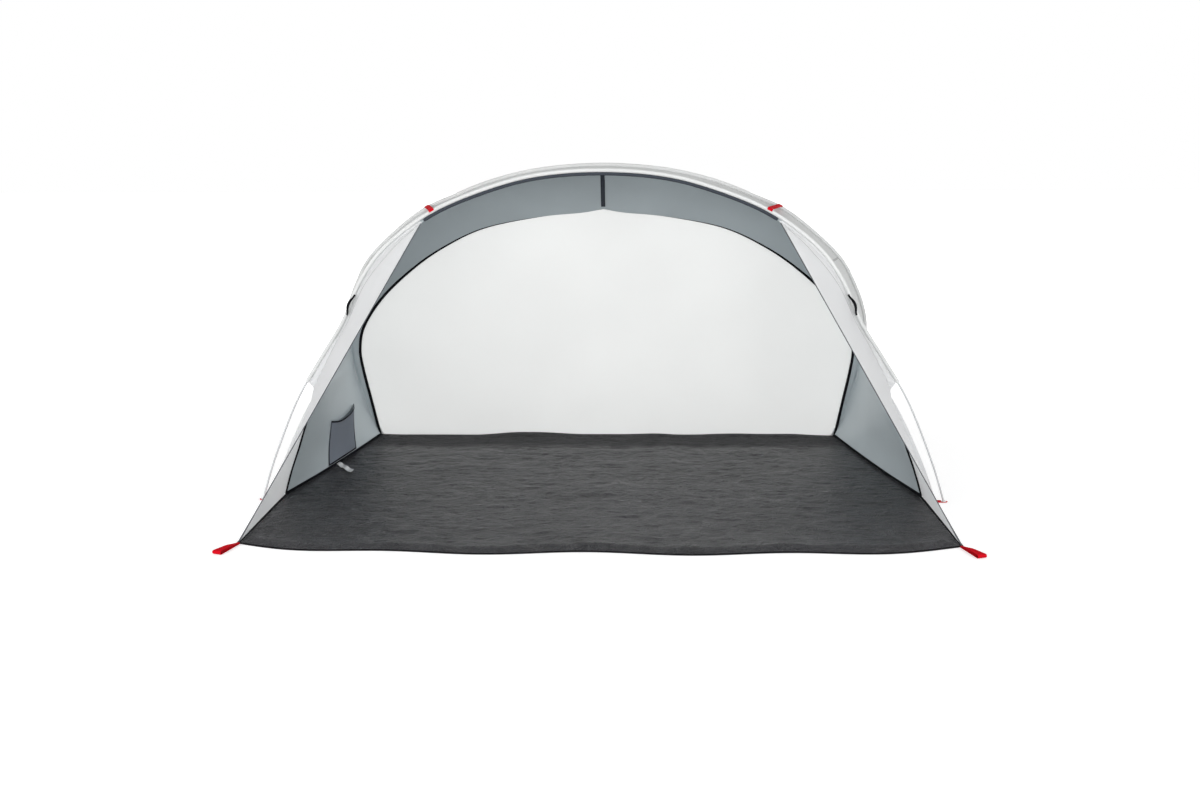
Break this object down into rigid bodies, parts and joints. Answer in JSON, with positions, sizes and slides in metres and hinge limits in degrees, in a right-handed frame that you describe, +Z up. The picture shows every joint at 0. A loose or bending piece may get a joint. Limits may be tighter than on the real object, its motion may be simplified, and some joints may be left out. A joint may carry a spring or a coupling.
{
  "type": "beach tent",
  "caption": "Low beach tent with two bent pole arches, a taut canopy, open front with slanted wings, a groundsheet, an inner pocket and webbing loops for pegs.",
  "frame": {"origin": "on the ground under the middle of the groundsheet, half way between its front and rear corners", "axes": "+X to the right for a person who faces the opening, +Y towards the back wall, +Z up; the opening faces -Y"},
  "size_m": [2.3444, 1.6135, 1.1243],
  "materials": {
    "white_cloth": "matt woven polyester, slightly translucent",
    "wing_cloth": "matt woven polyester",
    "canopy_cloth": "grey coated inner face, white outer face",
    "floor_cloth": "dark coated cloth with a soft sheen",
    "black_tape": "matt woven tape",
    "grey_piping": "matt folded tape",
    "pocket_cloth": "dense mesh cloth",
    "red_webbing": "woven webbing",
    "fibreglass": "smooth fibreglass",
    "steel": "satin",
    "label_cloth": "blank woven label"
  },
  "bodies": {
    "tent": {"back_seam_binding": "black_tape", "back_wall": "white_cloth", "floor_binding": "black_tape", "front_ferrule_1": "steel", "front_ferrule_2": "steel", "front_ferrule_3": "steel", "front_ferrule_4": "steel", "front_ferrule_5": "steel", "front_foot_left_eyelet": "steel", "front_foot_left_tab": "red_webbing", "front_foot_right_eyelet": "steel", "front_foot_right_tab": "red_webbing", "front_hem": "black_tape", "front_pole_section_1": "fibreglass", "front_pole_section_2": "fibreglass", "front_pole_section_3": "fibreglass", "front_pole_section_4": "fibreglass", "front_pole_section_5": "fibreglass", "front_pole_section_6": "fibreglass", "front_sleeve": "white_cloth", "groundsheet": "floor_cloth", "guy_loop_left": "black_tape", "guy_loop_right": "black_tape", "pocket": "pocket_cloth", "pocket_trim": "black_tape", "rear_ferrule_1": "steel", "rear_ferrule_2": "steel", "rear_ferrule_3": "steel", "rear_ferrule_4": "steel", "rear_ferrule_5": "steel", "rear_foot_left_eyelet": "steel", "rear_foot_left_tab": "red_webbing", "rear_foot_right_eyelet": "steel", "rear_foot_right_tab": "red_webbing", "rear_pole_section_1": "fibreglass", "rear_pole_section_2": "fibreglass", "rear_pole_section_3": "fibreglass", "rear_pole_section_4": "fibreglass", "rear_pole_section_5": "fibreglass", "rear_pole_section_6": "fibreglass", "rear_sleeve": "white_cloth", "ridge_tape": "black_tape", "roof_panel": "canopy_cloth", "roof_strap_left": "red_webbing", "roof_strap_right": "red_webbing", "side_panel_left": "canopy_cloth", "side_panel_right": "canopy_cloth", "wall_seam_piping_left": "black_tape", "wall_seam_piping_right": "black_tape", "wing_left": "wing_cloth", "wing_piping_left": "grey_piping", "wing_piping_right": "grey_piping", "wing_right": "wing_cloth"},
    "front_peg_loop_left": {"front_peg_loop_left": "red_webbing"},
    "front_peg_loop_right": {"front_peg_loop_right": "red_webbing"},
    "rear_peg_loop_left": {"rear_peg_loop_left": "red_webbing"},
    "rear_peg_loop_right": {"rear_peg_loop_right": "red_webbing"},
    "care_label": {"care_label": "label_cloth"}
  },
  "joints": [
    {"name": "front_peg_loop_left_lift", "type": "hinge", "parent": "tent", "child": "front_peg_loop_left", "pos_m": [-1.09091, -0.70421, 0.0052], "axis": [-0.9451, 0.3269, 0], "range_deg": [0, 100]},
    {"name": "front_peg_loop_right_lift", "type": "hinge", "parent": "tent", "child": "front_peg_loop_right", "pos_m": [1.09075, -0.70383, 0.0052], "axis": [-0.9451, -0.3269, 0], "range_deg": [0, 100]},
    {"name": "rear_peg_loop_left_lift", "type": "hinge", "parent": "tent", "child": "rear_peg_loop_left", "pos_m": [-0.94, 0.70193, 0.0052], "axis": [0.9451, 0.3269, 0], "range_deg": [0, 100]},
    {"name": "rear_peg_loop_right_lift", "type": "hinge", "parent": "tent", "child": "rear_peg_loop_right", "pos_m": [0.94, 0.70193, 0.0052], "axis": [0.9451, -0.3269, 0], "range_deg": [0, 100]},
    {"name": "care_label_lift", "type": "hinge", "parent": "tent", "child": "care_label", "pos_m": [-1.01427, 0.25, 0.0023], "axis": [-0.1671, -0.9859, 0], "range_deg": [0, 75]}
  ]
}
